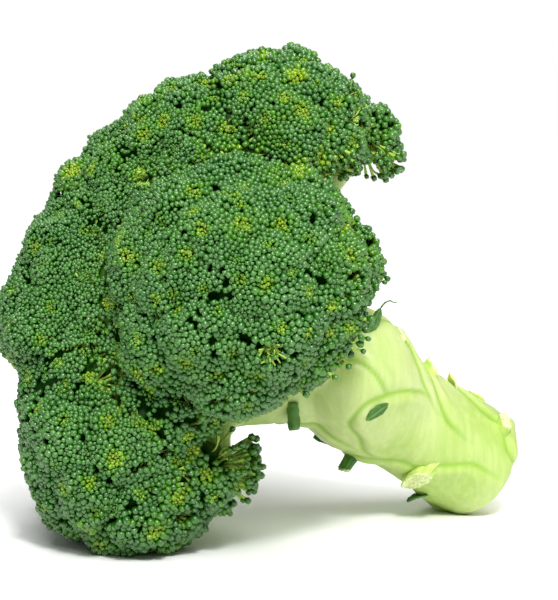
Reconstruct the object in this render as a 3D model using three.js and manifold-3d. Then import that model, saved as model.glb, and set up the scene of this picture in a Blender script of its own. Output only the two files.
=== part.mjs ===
// A broccoli head, cut and laid on a table: a thick stalk, the branches that fan out of its top, the crown of
// flower buds that each branch carries, and the leaf stubs and small leaves left where leaves were broken off.
// Sizes are in millimetres. The head is drawn upright in its own plant frame, with the stalk along +Z and its cut
// end at z = 0. LAY then turns it down to rest on the edge of the cut end and the rims of its lowest crowns.
import * as THREE from "three";
import { mergeVertices } from "three/addons/utils/BufferGeometryUtils.js";
import Module from "manifold-3d";

const wasm = await Module();
wasm.setup();

// ---- Driving dimensions -------------------------------------------------------------------------------------

const AXIS_RISE_DEG = 30.8; // how far the stalk's axis rises from the table, towards the crowns
const AXIS_DROP = 1.9; // how far the cut end's lower edge is pressed flat by the table
const GAP = 0.35; // clearance between neighbouring pieces

const STALK_HEIGHT = 84; // cut end to the rounded top, between the branches
const STALK_END_RADIUS = 18.9;
const STALK_WAIST_RADIUS = 17.6;
const STALK_WAIST_HEIGHT = 36;
const STALK_SHOULDER_RADIUS = 24.5; // where the lowest branches leave
const STALK_SHOULDER_HEIGHT = 68;
const RIB_HEIGHT = 0.7; // the ribs that run down from the leaf scars
const RIB_COUNT = 5;
const RIB_TURNS = 0.12; // how far the ribs wind round over the stalk's height
const CUT_BEVEL = 1.4; // the worn edge round the cut end

const CROWN_AIM_HEIGHT = 95; // each crown faces away from this height on the axis
const UNDERSIDE_DEPTH = 0.62; // from a crown's middle to the point of its underside, as a share of its radius
const UNDERSIDE_SLOPE = 0.33; // how steeply the underside rises to the rim
const LOBE_HEIGHT = 0.07; // a crown's secondary lobes, as a share of its radius
const BRANCH_START = 56; // height on the axis that the branches fan out from
const BEND_OUT = 0.3; // how far out and up a branch goes before it turns to its crown, as shares of the way
const BEND_UP = 0.62;
const FORK_AT = 0.5; // where a small crown's branch forks from a larger one, as a share of its length
const BRANCH_SINK = 6; // how far a branch reaches into its crown
const BRANCH_FLARE = 1.3; // how much wider a branch is at both ends than in its middle

// One row for each crown: its middle in the plant frame, its radius, its lobes and its branch's radius.
const CROWNS = [
  { name: "front", at: [1, -26, 129], radius: 37, lobes: 17, branch: 10 },
  { name: "upper_right", at: [56, -6, 129], radius: 24, lobes: 11, branch: 6.5 },
  { name: "upper_rim", at: [67, -6, 103.5], radius: 12.5, lobes: 6, branch: 3.8, from: "upper_right" },
  { name: "upper_middle", at: [36, 4.7, 151.6], radius: 20, lobes: 9, branch: 5.5 },
  { name: "upper_left", at: [17, 19.8, 148.9], radius: 21.5, lobes: 9, branch: 5.5 },
  { name: "left_upper", at: [-5.4, 25.7, 147.4], radius: 24, lobes: 11, branch: 6.5 },
  { name: "left_lower", at: [-26.2, 19.6, 147.2], radius: 24.5, lobes: 11, branch: 6.5 },
  { name: "lower", at: [-55, 6.5, 121], radius: 30, lobes: 15, branch: 8 },
  { name: "lower_inner", at: [-38, -10, 123], radius: 15, lobes: 7, branch: 4.4, from: "lower" },
  { name: "lower_rim", at: [-47, -13, 104], radius: 13.5, lobes: 7, branch: 4.4, from: "lower" },
  { name: "right", at: [28, -24, 99.5], radius: 10.5, lobes: 6, branch: 3.6, from: "front" },
  { name: "back_upper", at: [47, 36, 116], radius: 25, lobes: 11, branch: 6.5 },
  { name: "back_middle", at: [5, 55, 112], radius: 26.5, lobes: 12, branch: 7 },
  { name: "back_lower", at: [-48, 46, 108], radius: 28, lobes: 13, branch: 7.5 },
  { name: "top_upper", at: [23.7, 40.5, 127.7], radius: 25, lobes: 11, branch: 6 },
  { name: "top_lower", at: [-22.9, 45.2, 122.3], radius: 24, lobes: 11, branch: 6 },
];

// One row for each leaf stub: its height on the stalk, its bearing round it, its width, thickness and length.
const LEAF_STUBS = [
  { height: 41, bearing: -35, width: 11, thick: 6.5, length: 5.5 },
  { height: 15, bearing: -12, width: 9, thick: 5, length: 3.2 },
  { height: 7, bearing: -45, width: 7.5, thick: 5.5, length: 3.4 },
  { height: 26, bearing: -150, width: 12.5, thick: 7, length: 5 },
  { height: 58, bearing: -27, width: 8, thick: 5, length: 3.6 },
  { height: 47, bearing: 178, width: 7, thick: 5.5, length: 6.5 },
  { height: 33, bearing: 100, width: 12, thick: 6.5, length: 5 },
  { height: 55, bearing: 60, width: 10, thick: 5.5, length: 4.5 },
];

// One row for each small leaf: where its foot is on the stalk, and its length, width and lean off the surface.
const LEAVES = [
  { name: "bract_front", height: 54, bearing: -104, length: 15, width: 9, lean: 7 },
  { name: "bract_shoulder", height: 68, bearing: -62, length: 17, width: 6.5, lean: 9 },
  { name: "bract_lower", height: 15, bearing: -172, length: 8, width: 6, lean: 40 },
  { name: "bract_upper", height: 23, bearing: -10, length: 7.5, width: 5, lean: 30 },
  { name: "bract_back", height: 40, bearing: 140, length: 16, width: 9, lean: 10 },
];
const LEAF_THICK = 1.5;
const YOUNG_LEAF = { crown: "upper_right", along: 0.78, length: 14, width: 12, lean: 46 }; // its foot on a branch

const COLOURS = {
  stalk: 0xc8e17a,
  branch: 0xb2cf68,
  crown: 0x4d7e38,
  stub: 0xdfedae,
  bract: 0x3b6b2b,
  young: 0xdbe48e,
};

// ---- Solids -------------------------------------------------------------------------------------------------

const UP = new THREE.Vector3(0, 0, 1);
const degrees = THREE.MathUtils.degToRad;
const smooth = THREE.MathUtils.smoothstep;

// Plant frame to resting frame: the axis tips over towards -X until it rises by AXIS_RISE_DEG, and the whole head
// is lifted until the lower edge of the cut end is pressed by AXIS_DROP into the table plane z = 0.
const LAY = new THREE.Matrix4()
  .makeTranslation(0, 0, STALK_END_RADIUS * Math.cos(degrees(AXIS_RISE_DEG)) - AXIS_DROP)
  .multiply(new THREE.Matrix4().makeRotationY(-degrees(90 - AXIS_RISE_DEG)));

// A closed geometry in the resting frame as a manifold solid, for joining and cutting.
function solidOf(geometry) {
  const bare = new THREE.BufferGeometry().setAttribute("position", geometry.getAttribute("position").clone());
  if (geometry.index) bare.setIndex(geometry.index.clone());
  const merged = mergeVertices(bare, 1e-4);
  return new wasm.Manifold(
    new wasm.Mesh({
      numProp: 3,
      vertProperties: merged.attributes.position.array,
      triVerts: new Uint32Array(merged.index.array),
    }),
  );
}

// A solid back as a geometry that three.js can draw, with one normal for each flat face.
function geometryOf(solid) {
  const { vertProperties, triVerts } = solid.getMesh();
  const indexed = new THREE.BufferGeometry()
    .setAttribute("position", new THREE.BufferAttribute(new Float32Array(vertProperties), 3))
    .setIndex(new THREE.BufferAttribute(new Uint32Array(triVerts), 1));
  const flat = indexed.toNonIndexed();
  flat.computeVertexNormals();
  return flat;
}

// Moves every vertex of a geometry to place(x, y, z), which returns a Vector3.
function warp(geometry, place) {
  const positions = geometry.attributes.position;
  for (let i = 0; i < positions.count; i++) {
    const p = place(positions.getX(i), positions.getY(i), positions.getZ(i));
    positions.setXYZ(i, p.x, p.y, p.z);
  }
  return geometry;
}

// A solid drawn in the plant frame and laid down.
const laid = (geometry) => solidOf(geometry.applyMatrix4(LAY));

// A closed rod: at(t, angle) gives its surface for t from 0 at its foot to 1 at its tip. The caps' middles are
// drawn at radius share 0, so at also takes the share of the radius from the rod's middle line.
function rod(around, along, at) {
  const cylinder = new THREE.CylinderGeometry(1, 1, 1, around, along);
  return warp(cylinder, (x, y, z) => at(y + 0.5, Math.atan2(-z, x), Math.hypot(x, z)));
}

// ---- Stalk --------------------------------------------------------------------------------------------------

// The stalk's radius at a height: waist, shoulder and rounded top, with ribs that wind round it.
function stalkRadius(height, angle) {
  const foot = STALK_WAIST_RADIUS + (STALK_END_RADIUS - STALK_WAIST_RADIUS) * (1 - smooth(height, 0, STALK_WAIST_HEIGHT));
  const swell = smooth(height, STALK_WAIST_HEIGHT, STALK_SHOULDER_HEIGHT);
  const top = Math.max(0, (height - STALK_SHOULDER_HEIGHT) / (STALK_HEIGHT - STALK_SHOULDER_HEIGHT));
  const body = (foot + (STALK_SHOULDER_RADIUS - STALK_WAIST_RADIUS) * swell) * Math.sqrt(1 - 0.8 * top * top);
  const winding = RIB_COUNT * (angle - (2 * Math.PI * RIB_TURNS * height) / STALK_HEIGHT);
  return body + RIB_HEIGHT * Math.cos(winding) * (1 - top);
}

// The stalk, drawn larger by grow where it cuts its neighbours.
function stalkSolid(grow) {
  const bevelled = (height) => (grow ? 0 : CUT_BEVEL * Math.max(0, 1 - height / CUT_BEVEL) * 0.6);
  return laid(
    rod(32, 16, (t, angle, share) => {
      // The first ring above the cut end is the bevel's, and the rest are evenly spaced above it.
      const ring = Math.round(16 * t) - 1;
      const level = ring < 0 ? 0 : CUT_BEVEL + (ring / 15) * (STALK_HEIGHT - CUT_BEVEL);
      const height = level + (ring < 0 ? -grow : ring === 15 ? grow : 0);
      const r = share * (stalkRadius(level, angle) + grow - bevelled(level));
      return new THREE.Vector3(r * Math.cos(angle), r * Math.sin(angle), height);
    }),
  );
}

// ---- Crowns and branches --------------------------------------------------------------------------------------

const middleOf = (crown) => new THREE.Vector3(...crown.at);
const axisOf = (crown) => middleOf(crown).sub(new THREE.Vector3(0, 0, CROWN_AIM_HEIGHT)).normalize();

// Directions spread evenly over a dome like the seeds of a sunflower, each turned from the last by 137.5 degrees.
function sunflower(count, reach) {
  return Array.from({ length: count }, (_, i) => {
    const cos = 1 - ((i + 0.5) / count) * (1 - Math.cos(reach));
    const turn = i * degrees(137.508);
    const sin = Math.sqrt(1 - cos * cos);
    return new THREE.Vector3(sin * Math.cos(turn), sin * Math.sin(turn), cos);
  });
}

// A crown: a lumpy dome over a shallow cone, the underside that its branch enters.
function crownSolid(crown) {
  const detail = crown.radius > 22 ? 4 : 3;
  const reach = degrees(105);
  const lobes = sunflower(crown.lobes, reach);
  const lobeWidth = 1.15 * Math.sqrt((2 * (1 - Math.cos(reach))) / crown.lobes);
  const turn = new THREE.Quaternion().setFromUnitVectors(UP, axisOf(crown));
  const geometry = warp(new THREE.IcosahedronGeometry(1, detail), (x, y, z) => {
    const d = new THREE.Vector3(x, y, z).normalize();
    const nearest = Math.min(...lobes.map((lobe) => lobe.angleTo(d)));
    const bump = Math.max(0, 1 - (nearest / lobeWidth) ** 2) - 0.5;
    const dome = crown.radius * (1 + LOBE_HEIGHT * bump);
    const steep = UNDERSIDE_SLOPE * Math.hypot(d.x, d.y) - d.z;
    const cone = steep > 0 ? (crown.radius * UNDERSIDE_DEPTH) / steep : Infinity;
    return d.multiplyScalar(Math.min(dome, cone)).applyQuaternion(turn).add(middleOf(crown));
  });
  return laid(geometry);
}

// A large block that fills everything beyond a plane: the plane passes through point and faces along normal.
function beyond(point, normal) {
  const size = 300;
  const block = new THREE.BoxGeometry(size, size, size).translate(0, 0, size / 2);
  block.applyQuaternion(new THREE.Quaternion().setFromUnitVectors(UP, normal));
  return block.translate(point.x, point.y, point.z);
}

// Cuts a crown back from a neighbour along the plane where their two spheres meet, leaving half the clearance.
function cutBack(solid, crown, neighbour) {
  const from = middleOf(crown);
  const across = middleOf(neighbour).sub(from);
  const apart = across.length();
  const meet = (apart ** 2 + crown.radius ** 2 - neighbour.radius ** 2) / (2 * apart);
  if (meet > crown.radius * (1 + LOBE_HEIGHT)) return solid;
  across.normalize();
  return solid.subtract(laid(beyond(from.addScaledVector(across, meet - GAP / 2), across)));
}

// The line that a branch's middle follows, from inside the stalk, or inside the branch it forks from, to inside its
// crown.
function branchLine(crown) {
  const end = middleOf(crown).addScaledVector(axisOf(crown), BRANCH_SINK - UNDERSIDE_DEPTH * crown.radius);
  if (crown.from) {
    const parent = branchLine(CROWNS.find((other) => other.name === crown.from));
    const fork = parent.getPoint(FORK_AT);
    const forward = parent.getTangent(FORK_AT).multiplyScalar(0.4 * fork.distanceTo(end));
    return new THREE.QuadraticBezierCurve3(fork, fork.clone().add(forward), end);
  }
  const start = new THREE.Vector3(0, 0, BRANCH_START);
  const out = end.clone().setZ(0).multiplyScalar(BEND_OUT);
  const bend = new THREE.Vector3(out.x, out.y, BRANCH_START + BEND_UP * (end.z - BRANCH_START));
  return new THREE.QuadraticBezierCurve3(start, bend, end);
}

// A branch, drawn larger by grow where it cuts its neighbours.
function branchSolid(crown, grow) {
  const line = branchLine(crown);
  return laid(
    rod(12, 5, (t, angle, share) => {
      const middle = line.getPoint(t);
      const along = line.getTangent(t);
      const turn = new THREE.Quaternion().setFromUnitVectors(UP, along);
      const r = share * (crown.branch * (1 + (BRANCH_FLARE - 1) * (2 * t - 1) ** 2) + grow);
      const end = t === 0 ? -grow : t === 1 ? grow : 0;
      return new THREE.Vector3(r * Math.cos(angle), r * Math.sin(angle), end).applyQuaternion(turn).add(middle);
    }),
  );
}

// ---- Leaf stubs and small leaves ----------------------------------------------------------------------------

// The frame at a place on the stalk: along its surface towards the crowns, across it and out of it.
function stalkFrame(height, bearing, depth) {
  const angle = degrees(bearing);
  const radial = new THREE.Vector3(Math.cos(angle), Math.sin(angle), 0);
  const across = new THREE.Vector3(-Math.sin(angle), Math.cos(angle), 0);
  const reach = 12;
  const swell = stalkRadius(height + reach, angle) - stalkRadius(height, angle);
  const along = radial.clone().multiplyScalar(swell / reach).add(UP).normalize();
  const out = new THREE.Vector3().crossVectors(across, along);
  const foot = radial.clone().multiplyScalar(stalkRadius(height, angle)).setZ(height).addScaledVector(out, -depth);
  return { foot, out, across, along };
}

// A broken-off leaf stub: an oval stump that leans towards the crowns and ends in a rough top.
function stubSolid(stub) {
  const { foot, out, across, along } = stalkFrame(stub.height, stub.bearing, 4);
  const lean = out.clone().addScaledVector(along, 0.45).normalize();
  return laid(
    rod(12, 3, (t, angle, share) => {
      const flare = 1 + 0.25 * (1 - t) ** 2 - 0.12 * t ** 6;
      const rough = t === 1 ? 0.5 * Math.sin(3 * angle + stub.height) * share : 0;
      const wide = share * flare * (stub.width / 2) * Math.cos(angle);
      const tall = share * flare * (stub.thick / 2) * Math.sin(angle);
      const rise = t * (stub.length + 4) + rough;
      return foot.clone().addScaledVector(lean, rise).addScaledVector(across, wide).addScaledVector(along, tall);
    }),
  );
}

// A small leaf: a closed blade, pointed at both ends, that leaves its foot along a line and leans out from it.
function bladeSolid({ foot, out, across, along }, leaf, ruffle) {
  const lean = Math.tan(degrees(leaf.lean));
  const blade = new THREE.SphereGeometry(1, 12, 8);
  return laid(
    warp(blade, (x, y, z) => {
      const t = (y + 1) / 2;
      const wave = ruffle * Math.abs(x) * Math.sin(9 * t + 2 * x);
      const lift = leaf.length * t * lean * (0.55 + 0.45 * t) + wave + (LEAF_THICK / 2) * z;
      return foot
        .clone()
        .addScaledVector(along, leaf.length * t)
        .addScaledVector(across, (leaf.width / 2) * x)
        .addScaledVector(out, lift - 0.16 * leaf.width * x * x * (1 - ruffle));
    }),
  );
}

// The frame at a place on a branch, on the side that faces away from the stalk's axis and the table.
function branchFrame(crown, t) {
  const line = branchLine(crown);
  const along = line.getTangent(t);
  const out = new THREE.Vector3(0.25, -1, 0).addScaledVector(along, -new THREE.Vector3(0.25, -1, 0).dot(along)).normalize();
  const across = new THREE.Vector3().crossVectors(along, out);
  return { foot: line.getPoint(t).addScaledVector(out, crown.branch * 0.8), out, across, along };
}

// ---- Assembly -----------------------------------------------------------------------------------------------

const pieces = new Map(); // name to { solid, colour, roughness }
const put = (name, solid, colour, roughness) => pieces.set(name, { solid, colour, roughness });
const table = solidOf(beyond(new THREE.Vector3(), new THREE.Vector3(0, 0, -1)));

const grownStalk = stalkSolid(GAP);
put("stalk", stalkSolid(0).subtract(table), COLOURS.stalk, 0.45);

// The thickest branches leave the stalk first, and each later one is cut clear of those before it.
const byThickness = [...CROWNS].sort((a, b) => b.branch - a.branch);
let woody = grownStalk; // the stalk and the branches so far, drawn larger by the clearance
for (const crown of byThickness) {
  put("branch_" + crown.name, branchSolid(crown, 0).subtract(woody), COLOURS.branch, 0.5);
  woody = woody.add(branchSolid(crown, GAP));
}

for (const crown of CROWNS) {
  let solid = crownSolid(crown).subtract(woody).subtract(table);
  for (const neighbour of CROWNS) if (neighbour !== crown) solid = cutBack(solid, crown, neighbour);
  put("crown_" + crown.name, solid, COLOURS.crown, 0.8);
}

LEAF_STUBS.forEach((stub, i) => {
  put("leaf_stub_" + (i + 1), stubSolid(stub).subtract(woody), COLOURS.stub, 0.6);
});
for (const leaf of LEAVES) {
  const frame = stalkFrame(leaf.height, leaf.bearing, 1.2);
  put(leaf.name, bladeSolid(frame, leaf, 0).subtract(woody), COLOURS.bract, 0.55);
}
const carrier = CROWNS.find((crown) => crown.name === YOUNG_LEAF.crown);
const youngFrame = branchFrame(carrier, YOUNG_LEAF.along);
put("young_leaf", bladeSolid(youngFrame, YOUNG_LEAF, 1.1).subtract(woody), COLOURS.young, 0.55);

// The origin is the middle of the resting box's foot.
const head = new THREE.Group();
for (const [name, { solid, colour, roughness }] of pieces) {
  const material = new THREE.MeshStandardMaterial({ color: colour, roughness, metalness: 0 });
  const mesh = new THREE.Mesh(geometryOf(solid), material);
  mesh.name = name;
  head.add(mesh);
}
const middle = new THREE.Box3().setFromObject(head, true).getCenter(new THREE.Vector3());
for (const mesh of head.children) mesh.geometry.translate(-middle.x, -middle.y, 0);

export default head;
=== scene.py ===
# %% [markdown]
# # A broccoli head
#
# A broccoli head is a flower shoot picked before it opens. One thick stalk splits into branches, each
# branch splits into twigs, and each twig ends in a tight cluster of flower buds. The clusters press
# together into the domes that make up the crown. This scene grows the head in that order: stalk and
# branches, then the crowns of buds, then the stubs and small leaves left on the stalk. The last cells
# light it on a white table.
#
# Everything is drawn in a *plant frame*, in millimetres: the stalk runs along +Z and its cut end is at z
# = 0. `to_part` turns those points into the part's own frame, where the head lies on its side, in metres.

import math

import bmesh
import bpy
import numpy as np
from mathutils import Matrix, Vector
from mathutils.kdtree import KDTree


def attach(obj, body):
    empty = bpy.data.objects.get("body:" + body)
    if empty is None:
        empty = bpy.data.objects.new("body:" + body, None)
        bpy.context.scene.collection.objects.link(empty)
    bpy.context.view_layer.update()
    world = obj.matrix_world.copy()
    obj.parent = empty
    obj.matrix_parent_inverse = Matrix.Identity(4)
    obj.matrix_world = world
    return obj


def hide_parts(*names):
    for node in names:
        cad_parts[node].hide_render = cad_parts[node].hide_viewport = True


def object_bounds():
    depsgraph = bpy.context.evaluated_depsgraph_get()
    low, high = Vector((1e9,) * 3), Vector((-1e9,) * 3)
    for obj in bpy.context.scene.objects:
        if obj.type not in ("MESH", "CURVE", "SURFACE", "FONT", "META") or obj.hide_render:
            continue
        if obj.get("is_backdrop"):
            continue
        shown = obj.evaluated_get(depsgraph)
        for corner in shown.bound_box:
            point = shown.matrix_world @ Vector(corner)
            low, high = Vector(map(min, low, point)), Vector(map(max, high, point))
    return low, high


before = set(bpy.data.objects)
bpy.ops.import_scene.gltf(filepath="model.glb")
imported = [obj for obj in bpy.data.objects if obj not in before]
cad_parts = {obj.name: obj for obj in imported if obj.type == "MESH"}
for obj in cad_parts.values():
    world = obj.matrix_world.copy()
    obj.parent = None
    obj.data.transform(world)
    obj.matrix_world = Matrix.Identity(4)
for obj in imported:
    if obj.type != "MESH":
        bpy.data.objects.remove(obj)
cad_low, cad_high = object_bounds()
print("CAD box in mm:", [round(1000 * (h - l), 1) for l, h in zip(cad_low, cad_high)])

GOLDEN = math.radians(137.508)  # the turn from each bud, twig or leaf to the next one
rng = np.random.default_rng(20)

# %% [markdown]
# ## The plant's measurements
#
# These are the same design sizes that the solids were drawn from, so the fine surfaces made here fall
# where the solids are. Each crown is a dome: its middle, its radius, the number of its lobes and its
# branch's radius.

# %% Measurements
AXIS_RISE_DEG = 30.8
STALK_HEIGHT = 84.0
STALK_END_RADIUS = 18.9
STALK_WAIST_RADIUS, STALK_WAIST_HEIGHT = 17.6, 36.0
STALK_SHOULDER_RADIUS, STALK_SHOULDER_HEIGHT = 24.5, 68.0
CROWN_AIM_HEIGHT = 95.0
UNDERSIDE_DEPTH, UNDERSIDE_SLOPE = 0.62, 0.33
LOBE_HEIGHT = 0.07
BRANCH_START, BRANCH_SINK, BRANCH_FLARE = 56.0, 6.0, 1.3
BEND_OUT, BEND_UP = 0.3, 0.62
FORK_AT = 0.5
FORKS = {"upper_rim": "upper_right", "right": "front", "lower_rim": "lower", "lower_inner": "lower"}

CROWNS = {  # name: (middle, radius, lobes, branch radius)
    "front": ((1, -26, 129), 37, 17, 10),
    "upper_right": ((56, -6, 129), 24, 11, 6.5),
    "upper_rim": ((67, -6, 103.5), 12.5, 6, 3.8),
    "upper_middle": ((36, 4.7, 151.6), 20, 9, 5.5),
    "upper_left": ((17, 19.8, 148.9), 21.5, 9, 5.5),
    "left_upper": ((-5.4, 25.7, 147.4), 24, 11, 6.5),
    "left_lower": ((-26.2, 19.6, 147.2), 24.5, 11, 6.5),
    "lower": ((-55, 6.5, 121), 30, 15, 8),
    "lower_inner": ((-38, -10, 123), 15, 7, 4.4),
    "lower_rim": ((-47, -13, 104), 13.5, 7, 4.4),
    "right": ((28, -24, 99.5), 10.5, 6, 3.6),
    "back_upper": ((47, 36, 116), 25, 11, 6.5),
    "back_middle": ((5, 55, 112), 26.5, 12, 7),
    "back_lower": ((-48, 46, 108), 28, 13, 7.5),
    "top_upper": ((23.7, 40.5, 127.7), 25, 11, 6),
    "top_lower": ((-22.9, 45.2, 122.3), 24, 11, 6),
}

# %% [markdown]
# ## From the plant frame to the part's frame
#
# The stalk's axis rises from the table by 30.8 degrees towards -X. Where the plant frame's origin lies is
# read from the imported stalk: the corners of its cut end lie on a circle, and the circle's middle is the
# origin. A circle through points (x, y) satisfies x² + y² = 2ax + 2by + c, which is linear in a, b and c,
# so least squares finds the middle (a, b).


# %% The frame
def unit(v):
    """v scaled to length 1 along its last axis."""
    return v / np.maximum(np.linalg.norm(v, axis=-1, keepdims=True), 1e-12)


rise = math.radians(AXIS_RISE_DEG)
PLANT_AXES = np.array(  # rows: the plant's X, Y and Z in the part's frame
    [[math.sin(rise), 0, math.cos(rise)], [0, 1, 0], [-math.cos(rise), 0, math.sin(rise)]]
)


def read(items, key, columns=3, kind=np.float32):
    """A property of all of a mesh's vertices or corners, as an array with a row for each."""
    values = np.empty(len(items) * columns, kind)
    items.foreach_get(key, values)
    return values.reshape(-1, columns)


def find_origin():
    """The plant frame's origin in millimetres in the part's frame, from the stalk's cut end."""
    points = 1000 * read(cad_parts["stalk"].data.vertices, "co").astype(float)
    local = points @ PLANT_AXES.T
    foot = local[:, 2].min()
    ring = local[(local[:, 2] < foot + 0.02) & (points[:, 2] > 0.1)]  # not where the table flattens it
    ring = ring[np.linalg.norm(ring[:, :2] - ring[:, :2].mean(0), axis=1) > STALK_END_RADIUS / 2]
    rows = np.column_stack([2 * ring[:, :2], np.ones(len(ring))])
    a, b, _ = np.linalg.lstsq(rows, (ring[:, :2] ** 2).sum(1), rcond=None)[0]
    return np.array([a, b, foot]) @ PLANT_AXES


ORIGIN = find_origin()
print("plant origin in the part's frame, mm:", np.round(ORIGIN, 2))


def to_part(points):
    """Plant frame in millimetres to the part's frame in metres."""
    return (np.asarray(points, float) @ PLANT_AXES + ORIGIN) / 1000


def table_height(points):
    """How high plant-frame points lie above the table, in millimetres."""
    return 1000 * to_part(points)[..., 2]


def raised(points, least):
    """The points, with those that lie lower above the table than least raised to it."""
    return points + np.maximum(least - table_height(points), 0)[..., None] * PLANT_AXES[:, 2]


# %% [markdown]
# ## Tools
#
# Meshes are made from whole arrays: points, faces with four corners, faces with three corners, and one
# number per point for each named attribute that a material reads later.


# %% Mesh tools
def new_object(name, data):
    """An object for a mesh, light or camera, in the scene."""
    obj = bpy.data.objects.new(name, data)
    bpy.context.scene.collection.objects.link(obj)
    return obj


def make_mesh(name, points, quads=(), tris=(), **attributes):
    """A smooth mesh object from plant-frame points, with per-point attributes. It rides on nothing yet."""
    quads = np.asarray(quads, np.int32).reshape(-1, 4)
    tris = np.asarray(tris, np.int32).reshape(-1, 3)
    mesh = bpy.data.meshes.new(name)
    mesh.vertices.add(len(points))
    mesh.vertices.foreach_set("co", to_part(points).astype(np.float32).ravel())
    corners = np.concatenate([quads.ravel(), tris.ravel()])
    mesh.loops.add(len(corners))
    mesh.loops.foreach_set("vertex_index", corners)
    starts = np.concatenate([np.arange(len(quads)) * 4, 4 * len(quads) + np.arange(len(tris)) * 3])
    mesh.polygons.add(len(starts))
    mesh.polygons.foreach_set("loop_start", starts.astype(np.int32))
    mesh.polygons.foreach_set("use_smooth", np.ones(len(starts), bool))
    mesh.update(calc_edges=True)
    for key, values in attributes.items():
        layer = mesh.attributes.new(key, "FLOAT", "POINT")
        layer.data.foreach_set("value", np.asarray(values, np.float32))
    return new_object(name, mesh)


class Batch:
    """Collects points, faces and attributes of many small shapes that end up in one mesh."""

    def __init__(self):
        self.points, self.quads, self.tris, self.attributes, self.count = [], [], [], [], 0

    def add(self, points, quads, tris, **attributes):
        """Adds a shape whose face corners count from 0."""
        self.quads.append(np.asarray(quads, int).reshape(-1, 4) + self.count)
        self.tris.append(np.asarray(tris, int).reshape(-1, 3) + self.count)
        self.points.append(points)
        self.attributes.append(attributes)
        self.count += len(points)

    def make(self, name):
        """The mesh object of everything added."""
        marks = {k: np.concatenate([a[k] for a in self.attributes]) for k in self.attributes[0]}
        return make_mesh(name, *map(np.concatenate, (self.points, self.quads, self.tris)), **marks)


def finish_piece(obj, material, slot, *nodes):
    """Gives a piece its material and lets it stand for the CAD nodes it replaces; slot is not used."""
    obj.data.materials.append(material)
    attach(obj, "root")
    if nodes:
        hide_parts(*nodes)
    return obj


def side_axes(direction):
    """Two unit vectors square to each unit direction and to each other."""
    helper = np.where(np.abs(direction[..., 2:3]) < 0.9, [0.0, 0.0, 1.0], [1.0, 0.0, 0.0])
    first = unit(np.cross(helper, direction))
    return first, np.cross(direction, first)


def noise3(points, scale, seed=0, octaves=3):
    """Smooth noise of about -1 to 1: sums of sine waves that cross each point in random directions."""
    source = np.random.default_rng(seed)
    total = np.zeros(len(points))
    for octave in range(octaves):
        waves = unit(source.normal(size=(7, 3))) * (2 ** octave) * 2 * math.pi / scale
        shifts = source.uniform(0, 2 * math.pi, 7)
        total += np.sin(points @ waves.T + shifts).sum(1) / (2.6 * 1.8 ** octave)
    return total


def smoothstep(x, low, high):
    """0 below low, 1 above high, and 3t² - 2t³ in between."""
    t = np.clip((x - low) / (high - low), 0, 1)
    return t * t * (3 - 2 * t)


# %% [markdown]
# A *tube* is a row of rings along a line. The rings' axes are carried along the line by taking away from
# the last ring's side vector the part that lies along the new direction, so the tube never twists.


# %% Tubes
def ring_turns(around):
    """Equal turns round a ring, in radians."""
    return np.linspace(0, 2 * math.pi, around, endpoint=False)


def ring_faces(rings, around):
    """Quads between rings of corners, and the tris that close the first ring on a foot and the last on a
    tip. The foot and the tip are the two points after the rings."""
    i, j = np.meshgrid(np.arange(rings - 1), np.arange(around), indexing="ij")
    k = (j + 1) % around
    quads = np.stack([i * around + j, i * around + k, (i + 1) * around + k, (i + 1) * around + j], -1)
    j, k, last, foot = j[0], k[0], (rings - 1) * around, rings * around
    below = np.stack([k, j, np.full(around, foot)], 1)
    above = np.stack([last + j, last + k, np.full(around, foot + 1)], 1)
    return quads.reshape(-1, 4), below, above


def bezier(start, bend, end, steps):
    """Points on a quadratic curve for many curves at once: shape (curves, steps, 3)."""
    t = np.linspace(0, 1, steps)[None, :, None]
    start, bend, end = (np.atleast_2d(p)[:, None] for p in (start, bend, end))
    return (1 - t) ** 2 * start + 2 * t * (1 - t) * bend + t**2 * end


def tubes(lines, radii, around=6):
    """Closed tubes for many lines at once. lines is (n, steps, 3) and radii (n, steps)."""
    n, steps, _ = lines.shape
    along = unit(np.gradient(lines, axis=1))
    side = np.empty_like(lines)
    side[:, 0] = side_axes(along[:, 0])[0]
    for i in range(1, steps):
        last = side[:, i - 1]
        side[:, i] = unit(last - (last * along[:, i]).sum(1, keepdims=True) * along[:, i])
    other = np.cross(along, side)
    turn = ring_turns(around)
    ring = np.cos(turn)[:, None] * side[:, :, None] + np.sin(turn)[:, None] * other[:, :, None]
    points = lines[:, :, None] + radii[:, :, None, None] * ring
    tips = np.stack([lines[:, 0], lines[:, -1]], 1)
    block = np.concatenate([points.reshape(n, -1, 3), tips], 1)
    quads, below, above = ring_faces(steps, around)
    tris = np.concatenate([below, above])
    shift = (np.arange(n) * (steps * around + 2))[:, None, None]
    t = np.concatenate([np.repeat(np.linspace(0, 1, steps), around), [0, 1]])
    return (
        block.reshape(-1, 3),
        (quads[None] + shift).reshape(-1, 4),
        (tris[None] + shift).reshape(-1, 3),
        np.tile(t, n),
    )


# %% [markdown]
# ## The crowns' shape
#
# Directions spread like the seeds of a sunflower mark a crown's lobes: each is turned from the last by
# 137.5 degrees, and they cover equal areas. At an angle a from the nearest lobe, the dome's radius is R
# (1 + h (1 - (a / w)² - ½)), a row of small humps of height h. Under the rim the dome ends in a shallow
# cone.


# %% Crown shape
def sunflower(count, reach):
    """count unit directions spread evenly round +Z out to the angle reach."""
    i = np.arange(count)
    cos = 1 - (i + 0.5) / count * (1 - math.cos(reach))
    sin = np.sqrt(1 - cos**2)
    return np.stack([sin * np.cos(i * GOLDEN), sin * np.sin(i * GOLDEN), cos], 1)


def turn_from_up(axis):
    """The rotation matrix that takes +Z to axis by the shortest turn."""
    return np.array(Vector((0, 0, 1)).rotation_difference(Vector(axis)).to_matrix())


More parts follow.
